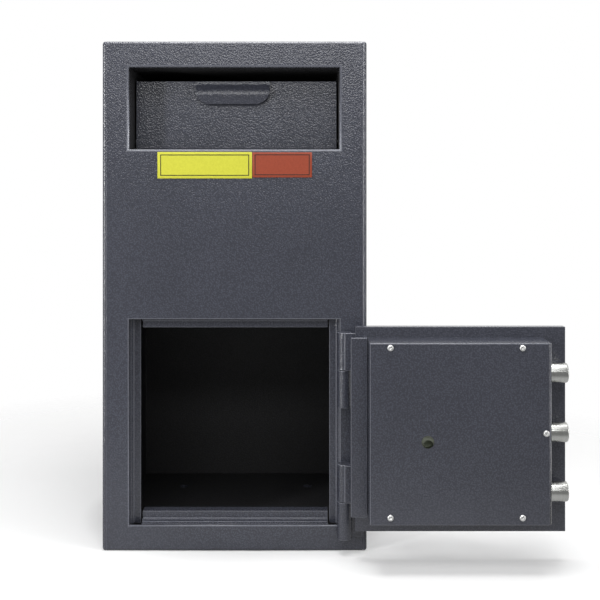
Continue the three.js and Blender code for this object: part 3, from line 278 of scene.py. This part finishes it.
def add_box(bm, low, high):
    """Adds a plain block between two corners."""
    size = Vector(high) - Vector(low)
    middle = (Vector(high) + Vector(low)) / 2
    bmesh.ops.create_cube(bm, size=1, matrix=Matrix.Translation(middle) @ Matrix.Diagonal((*size, 1)))


# Front plate: the upper opening is folded in, so its edges are rounder than the sawn ones
hatch_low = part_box("housing_sill")[0]


def make_front_plate():
    """The rims of its two openings and its sides each have their own rounding."""
    bm = merged("front_plate")
    low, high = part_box("front_plate")
    border, near = 20 * MM, 1 * MM

    def on_hatch(middle):
        inside = low.x + border < middle.x < high.x - border
        return inside and hatch_low.z < middle.z < high.z - border and middle.y < low.y + near

    def on_doorway(middle):
        inside = low.x + border < middle.x < high.x - border
        return inside and border < middle.z < hatch_low.z and middle.y < low.y + near

    def on_rim(middle):
        return middle.x < low.x + near or middle.x > high.x - near

    # Each rounding takes slot 1, the paler coat that paints the edge highlight
    for radius, wanted in ((3 * MM, on_hatch), (1.6 * MM, on_doorway), (2 * MM, on_rim)):
        round_edges(bm, radius, wanted, 1)
    show(bm, "front_plate_folded", "front_plate", [coat, edge_highlight_coat])


make_front_plate()
# The inner faces of the body plates take the inner coat darkened as painted shade
rounded("left_side_plate", 1.2 * MM, (1, 0, 0))
rounded("right_side_plate", 1.2 * MM, (-1, 0, 0))
rounded("top_plate", 0.4 * MM, (0, 0, -1))
rounded("bottom_plate", 0.4 * MM, (0, 0, 1))
rounded("back_plate", 0.4 * MM, (0, -1, 0))
for jamb in ("jamb_left", "jamb_right", "jamb_top"):
    rounded(jamb, 0.8 * MM)
rounded("jamb_bottom", 0.4 * MM)
for sheet in ("housing_left_cheek", "housing_right_cheek", "housing_ceiling", "fishing_baffle",
              "chute_plate", "drawer_rest_bar", "drawer_floor", "drawer_left_side", "drawer_right_side"):
    rounded(sheet, 0.6 * MM)
rounded("housing_sill", 0.9 * MM)
rounded("drawer_face", 0.9 * MM)
for rod in ("drawer_pivot_rod", "pivot_clip_left", "pivot_clip_right", "upper_hinge_pin", "lower_hinge_pin"):
    rounded(rod, 0.3 * MM)
for hinge in ("upper_hinge", "lower_hinge"):
    rounded(f"{hinge}_body_half", 0.8 * MM)
    rounded(f"{hinge}_door_half", 0.8 * MM)


def bent_line(top, start, corner, tip):
    """A side of the pull's profile, from its tab down the slope, round a wide bend and down the lip."""
    slope_reach, lip_reach, arc_steps, lip_steps = 10, 4.5, 8, 10
    top, start, corner, tip = (Vector(point) for point in (top, start, corner, tip))
    before = corner + (start - corner).normalized() * slope_reach
    after = corner + (tip - corner).normalized() * lip_reach
    line = [top, start]
    for step in range(arc_steps + 1):
        t = step / arc_steps
        line.append(before * (1 - t) ** 2 + corner * 2 * t * (1 - t) + after * t ** 2)
    for step in range(1, lip_steps + 1):
        line.append(after + (tip - after) * math.sin(math.pi / 2 * step / lip_steps))
    return line


def make_pull():
    """One bent strip: its profile is in millimetres from the front and the top of the pull's CAD box."""
    low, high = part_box("drawer_pull")
    middle = (low.x + high.x) / 2
    half_width = (high.x - low.x) / 2
    shoulder, corner_height = 12.5, 19
    corner_width = 20 * MM
    outside = bent_line((6, 0), (6, 4), (0, 15), (1.5, 31.5))
    inside = bent_line((8.5, 0), (8.5, 6.5), (2.5, 17.5), (4, 31.5))
    bm = bmesh.new()
    rings = []
    for pair in zip(outside, inside):
        ring = []
        for side, (depth, drop) in ((-1, pair[0]), (1, pair[0]), (1, pair[1]), (-1, pair[1])):
            turn = math.asin(min(1, max(0, (drop - shoulder) / corner_height)))
            x = middle + side * (half_width - corner_width * (1 - math.cos(turn)))
            ring.append(bm.verts.new((x, low.y + depth * MM, high.z - drop * MM)))
        rings.append(ring)
    for above, below in zip(rings, rings[1:]):
        for first in range(4):
            second = (first + 1) % 4
            bm.faces.new((above[first], above[second], below[second], below[first]))
    bm.faces.new(rings[0])
    bm.faces.new(rings[-1])
    bmesh.ops.recalc_face_normals(bm, faces=bm.faces)
    # The rounding takes slot 1, the paler coat that paints the edge highlight
    round_edges(bm, 0.6 * MM, material=1)
    show(bm, "drawer_pull_rolled", "drawer_pull", [coat, edge_highlight_coat])


make_pull()


def make_label(node, side_inset, level_inset, rule_width, ink):
    """A vinyl plate whose printed rule is a narrow ring of its front face."""
    low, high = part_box(node)
    bm = bmesh.new()
    add_box(bm, low, high)
    front = min(bm.faces, key=lambda face: face.calc_center_median().y)
    bmesh.ops.inset_region(bm, faces=[front], thickness=side_inset)
    height = high.z - low.z
    squeeze = (height - 2 * level_inset) / (height - 2 * side_inset)
    middle = Matrix.Translation(-(low + high) / 2)
    bmesh.ops.scale(bm, vec=(1, 1, squeeze), space=middle, verts=front.verts)
    ring = bmesh.ops.inset_region(bm, faces=[front], thickness=rule_width)["faces"]
    for face in ring:
        face.material_index = 1
    show(bm, f"{node}_with_rule", node, [finish_of[slot_of[node]], ink])


make_label("label_yellow", side_inset=5.1 * MM, level_inset=4.9 * MM, rule_width=1.9 * MM, ink=yellow_rule)
make_label("label_orange", side_inset=4.2 * MM, level_inset=4.0 * MM, rule_width=1.9 * MM, ink=orange_rule)

# Door: plate, dead bar and folded cover
rounded("door_plate", 0.8 * MM)
rounded("dead_bar", 0.8 * MM)


def make_cover():
    """The cover's outer folds are round, and the rims of its holes and slots stay sharp."""
    bm = merged("door_cover")
    low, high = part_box("door_cover")
    near = 0.3 * MM

    def on_fold(middle):
        at_front = middle.y < low.y + near
        at_side = middle.x < low.x + near or middle.x > high.x - near
        at_level = middle.z < low.z + near or middle.z > high.z - near
        return at_front + at_side + at_level > 1

    # The folds take slot 1, the paler coat that paints the edge highlight
    round_edges(bm, 4 * MM, on_fold, 1)
    show(bm, "door_cover_folded", "door_cover", [coat, edge_highlight_coat])


make_cover()
for hidden in ("bolt_guide", "hard_plate", "bolt_carriage", "handle_crank", "lock_bolt", "lock_case",
               "cover_post_1", "cover_post_2", "cover_post_3", "cover_post_4"):
    rounded(hidden, 0.3 * MM)


def make_bolt(node):
    """A turned bolt with a chamfered nose, a centre mark and a tenon that is riveted in the carriage."""
    low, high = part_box(node)
    radius = (high.z - low.z) / 2
    length = high.x - low.x
    tenon = 6 * MM
    tenon_length = 12.3 * MM
    shoulder = length - tenon_length
    profile = [
        (0, 0.9 * MM),
        (0.9 * MM, 0.1 * MM),
        (1.4 * MM, 0),
        (radius - 1.8 * MM, 0),
        (radius - 0.7 * MM, 0.3 * MM),
        (radius - 0.2 * MM, 0.9 * MM),
        (radius, 1.8 * MM),
        (radius, shoulder),
        (tenon, shoulder),
        (tenon, length - 0.5 * MM),
        (tenon - 0.5 * MM, length),
        (0, length),
    ]
    middle = (low + high) / 2
    bm = stand(turned(profile, 96), (high.x, middle.y, middle.z), (-1, 0, 0))
    show(bm, f"{node}_turned", node, [satin_nickel])


for bolt in ("bolt_bottom", "bolt_middle", "bolt_top"):
    make_bolt(bolt)


def make_screw(node):
    """A domed screw with a hexagon socket, its head towards the camera while the door is open."""
    low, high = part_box(node)
    length = (high.y - low.y) / MM
    dome_height = 2.2
    head = length - dome_height
    outer = [(0, 0), (1.5, 0), (2, 0.7), (2, head), (3.7, head), (4, head + 0.25), (4, head + 0.6)]
    dome = [(3.8, head + 1.2), (3.4, head + 1.7), (2.8, head + 2.05), (2.1, length), (1.75, length)]
    socket = [(1.6, length - 0.15), (1.55, length - 1.2), (0, length - 1.5)]
    socket_floor = length - 1.3
    corner = math.radians(30)
    bm = turned([(radius * MM, height * MM) for radius, height in outer + dome + socket], 24)
    for vert in bm.verts:
        radius = math.hypot(vert.co.x, vert.co.y)
        if vert.co.z > socket_floor * MM and 1.5 * MM < radius < 1.62 * MM:
            turn = math.atan2(vert.co.y, vert.co.x) % (2 * corner) - corner
            stretch = math.cos(corner) / math.cos(turn)
            vert.co.x *= stretch
            vert.co.y *= stretch
    middle = (low + high) / 2
    stand(bm, (middle.x, high.y, middle.z), (0, -1, 0))
    show(bm, f"{node}_domed", node, [bright_zinc])


for screw in ("cover_screw_1", "cover_screw_2", "cover_screw_3", "cover_screw_4", "cover_screw_5"):
    make_screw(screw)

# Outside of the door: rose and lever, then the combination dial in its ring
rounded("handle_rose", 1.2 * MM)
rounded("handle_lever", 1.5 * MM)
rounded("dial_ring", 0.8 * MM)
DIAL_KNOB = 32 * MM
DIAL_FLANGE = (36 * MM, 3.1 * MM)
DIAL_SHOULDER = (24 * MM, 8 * MM)
DIAL_STEPS = 144
GRIP_RADIUS = 17 * MM
GRIP_START = 9 * MM
FLUTE_SQUEEZE = 0.955


def make_dial():
    """The dial: a cone for the numbers and a fluted knob, with its spindle behind."""
    low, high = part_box("dial")
    centre = (low + high) / 2
    base = Vector((centre.x, high.y - DIAL_KNOB, centre.z))
    back = (low.y - base.y) / MM
    spindle = [(0, back), (4, back), (4, 0)]
    cone = [(35.5, 0), (36, 0.5), (36, 2.6), (35.7, 3.1), (24.6, 7.75), (23.6, 8)]
    grip = [(18, 8), (17.3, 8.4), (17, 9.4), (17, 29.6)]
    crown = [(16.6, 30.9), (15.6, 31.7), (14.4, 32), (12, 31.6), (0, 31.4)]
    profile = [(radius * MM, height * MM) for radius, height in spindle + cone + grip + crown]
    bm = turned(profile, DIAL_STEPS)
    for vert in bm.verts:
        radius = math.hypot(vert.co.x, vert.co.y)
        step = round(math.atan2(vert.co.y, vert.co.x) / (2 * math.pi / DIAL_STEPS))
        on_grip = abs(radius - GRIP_RADIUS) < 0.05 * MM and vert.co.z > GRIP_START
        if on_grip and step % 3 == 0:
            vert.co.x *= FLUTE_SQUEEZE
            vert.co.y *= FLUTE_SQUEEZE
    show(stand(bm, base, (0, 1, 0)), "dial_fluted", "dial", [black_enamel])
    return base


def on_dial(base, angle, radius):
    """The frame of a mark on the dial's cone: X runs clockwise, Y outwards, Z off the surface."""
    out = Vector((-math.sin(angle), 0, math.cos(angle)))
    run = DIAL_FLANGE[0] - DIAL_SHOULDER[0]
    fall = DIAL_SHOULDER[1] - DIAL_FLANGE[1]
    outwards = (out * run - Vector((0, fall, 0))).normalized()
    off = (out * fall + Vector((0, run, 0))).normalized()
    height = DIAL_FLANGE[1] + (DIAL_FLANGE[0] - radius) * fall / run
    place = base + out * radius + Vector((0, height, 0))
    matrix = Matrix((outwards.cross(off), outwards, off)).transposed().to_4x4()
    return Matrix.Translation(place) @ matrix


def make_dial_marks(base):
    """A hundred graduations, long at each ten, and the plain numbers 0 to 90."""
    marks_start, numbers_radius, mark_height = 35.2 * MM, 28.2 * MM, 0.2 * MM
    turn = math.radians(3.6)
    bm = bmesh.new()
    for mark in range(100):
        width, length = 0.3 * MM, 1.8 * MM
        if mark % 10 == 0:
            width, length = 0.45 * MM, 3.6 * MM
        elif mark % 5 == 0:
            length = 2.8 * MM
        place = on_dial(base, turn * mark, marks_start - length / 2)
        bmesh.ops.create_cube(bm, size=1, matrix=place @ Matrix.Diagonal((width, length, mark_height, 1)))
    for number in range(0, 100, 10):
        curve = bpy.data.curves.new(f"number_{number}", "FONT")
        curve.body = str(number)
        curve.size = 5.2 * MM
        curve.align_x = "CENTER"
        curve.align_y = "CENTER"
        curve.extrude = 0.1 * MM
        words = bpy.data.objects.new(f"number_{number}", curve)
        scene.collection.objects.link(words)
        drawn = words.evaluated_get(bpy.context.evaluated_depsgraph_get())
        flat = bpy.data.meshes.new_from_object(drawn)
        bpy.data.objects.remove(words)
        flat.transform(on_dial(base, turn * number, numbers_radius))
        bm.from_mesh(flat)
        bpy.data.meshes.remove(flat)
    show(bm, "dial_marks", "dial", [white_fill], stands_for=False)


def make_dial_index(base):
    """The white pointer on the ring above the dial."""
    ring_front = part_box("dial_ring")[1].y
    bm = bmesh.new()
    tip = Vector((base.x, ring_front, base.z + 39 * MM))
    corners = [(0, 0), (-1.3, 3.8), (1.3, 3.8)]
    verts = [bm.verts.new(tip + Vector((x * MM, 0, z * MM))) for x, z in corners]
    face = bm.faces.new(verts)
    raised = bmesh.ops.extrude_face_region(bm, geom=[face])["geom"]
    top = [item for item in raised if isinstance(item, bmesh.types.BMVert)]
    bmesh.ops.translate(bm, vec=(0, 0.2 * MM, 0), verts=top)
    bmesh.ops.recalc_face_normals(bm, faces=bm.faces)
    show(bm, "dial_index", "dial_ring", [white_fill], stands_for=False)


dial_base = make_dial()
make_dial_marks(dial_base)
make_dial_index(dial_base)


# Studio: white paper in a white room, softboxes in front and above, a strip light on each side


def make_floor():
    """White paper: it throws little light back, glows a little except under the safe and in a dimmer ring
    just around it, which is a painted contact shadow, and ends softly.
    """
    bm = bmesh.new()
    bmesh.ops.create_grid(bm, x_segments=1, y_segments=1, size=3)
    mesh = bpy.data.meshes.new("studio_floor")
    bm.to_mesh(mesh)
    bm.free()
    floor = bpy.data.objects.new("studio_floor", mesh)
    scene.collection.objects.link(floor)
    # Plain white paper: only the camera and the mirrors see its glow
    material = bpy.data.materials.new("white studio paper")
    material.use_nodes = True
    tree = material.node_tree
    tree.nodes.clear()
    place = add_node(tree, "ShaderNodeTexCoord").outputs["Object"]
    reach = add_node(tree, "ShaderNodeVectorMath", {}, {0: place}, operation="LENGTH").outputs["Value"]
    camera_ray = add_node(tree, "ShaderNodeLightPath").outputs["Is Camera Ray"]
    shade = spread(tree, camera_ray, 0.0, 1.0, 0.32, 0.68)
    paper = add_node(tree, "ShaderNodeBsdfDiffuse", {}, {"Color": shade})
    # No glow under the safe, fading in over a ring just around it: a painted contact shadow on the floor
    glow_past_painted_contact_shadow = spread(tree, reach, 0.16, 0.24, 0.0, 0.297)
    level = add_node(tree, "ShaderNodeMath", {}, {0: background_rays(tree), 1: glow_past_painted_contact_shadow},
                     operation="MULTIPLY").outputs[0]
    glow = add_node(tree, "ShaderNodeEmission", {"Color": (1, 1, 1, 1)}, {"Strength": level})
    both = add_node(tree, "ShaderNodeAddShader", {}, {0: paper.outputs[0], 1: glow.outputs[0]})
    clear = add_node(tree, "ShaderNodeBsdfTransparent")
    fade = spread(tree, reach, 0.5, 0.95, 0.0, 1.0)
    sheet = add_node(tree, "ShaderNodeMixShader", {}, {0: fade, 1: both.outputs[0], 2: clear.outputs[0]})
    add_node(tree, "ShaderNodeOutputMaterial", {}, {"Surface": sheet.outputs[0]})
    mesh.materials.append(material)


def background_rays(tree):
    """1 for the rays that see the studio: the camera's, and those in metal and glass."""
    path = add_node(tree, "ShaderNodeLightPath")
    seen = path.outputs["Is Camera Ray"]
    for other in ("Is Glossy Ray", "Is Transmission Ray"):
        links = {0: seen, 1: path.outputs[other]}
        seen = add_node(tree, "ShaderNodeMath", {}, links, operation="MAXIMUM").outputs[0]
    return seen


def make_world():
    """A room that is white for the camera, darker in front as metal sees it, and dim as a light."""
    world = bpy.data.worlds.new("white studio")
    world.use_nodes = True
    scene.world = world
    tree = world.node_tree
    tree.nodes.clear()
    place = add_node(tree, "ShaderNodeTexCoord").outputs["Generated"]
    aside = add_node(tree, "ShaderNodeSeparateXYZ", {}, {0: place}).outputs["Y"]
    room = spread(tree, aside, -0.75, 0.1, 0.27, 1.0)
    camera_ray = add_node(tree, "ShaderNodeLightPath").outputs["Is Camera Ray"]
    white_or_room = add_node(tree, "ShaderNodeMath", {}, {0: room, 1: camera_ray},
                             operation="MAXIMUM").outputs[0]
    strength = add_node(tree, "ShaderNodeMix", {2: 0.16}, {0: background_rays(tree), 3: white_or_room},
                        data_type="FLOAT").outputs[0]
    back = add_node(tree, "ShaderNodeBackground", {"Color": (1, 1, 1, 1)}, {"Strength": strength})
    add_node(tree, "ShaderNodeOutputWorld", {}, {"Surface": back.outputs[0]})


def add_lamp(name, place, aim, width, height, power):
    """A rectangular softbox that faces its aim: sizes in metres, power in watts."""
    lamp = bpy.data.lights.new(name, "AREA")
    lamp.shape = "RECTANGLE"
    lamp.size = width
    lamp.size_y = height
    lamp.energy = power
    lamp_object = bpy.data.objects.new(name, lamp)
    lamp_object.location = place
    lamp_object.rotation_euler = (Vector(aim) - Vector(place)).to_track_quat("-Z", "Y").to_euler()
    scene.collection.objects.link(lamp_object)


make_floor()
make_world()
add_lamp("softbox_low", (0.05, -2.1, 1.28), (0, -0.15, 0.55), 1.4, 0.3, 8)
add_lamp("softbox_high", (0, -1.4, 1.8), (0, -0.15, 0.4), 1.4, 0.6, 10.5)
add_lamp("softbox_top", (0.15, -0.3, 2.0), (0.15, -0.29, 0), 1.2, 0.9, 35)
add_lamp("strip_left", (-1.15, -1.2, 0.6), (0.1, -0.15, 0.6), 0.15, 1.18, 14)
add_lamp("strip_right", (1.7, -1.0, 0.6), (0.1, -0.15, 0.6), 0.15, 1.18, 6)

# Camera: level, a little right of the safe's middle, with the frame shifted down as in the photograph
camera_data = bpy.data.cameras.new("camera")
camera_data.sensor_width = 36
camera_data.lens = 59.67
camera_data.shift_y = -0.1833
camera = bpy.data.objects.new("camera", camera_data)
camera.location = (0.08815, -1.5158, 0.48575)
camera.rotation_euler = (math.pi / 2, 0, 0)
scene.collection.objects.link(camera)
scene.camera = camera
scene.view_settings.view_transform = "Standard"
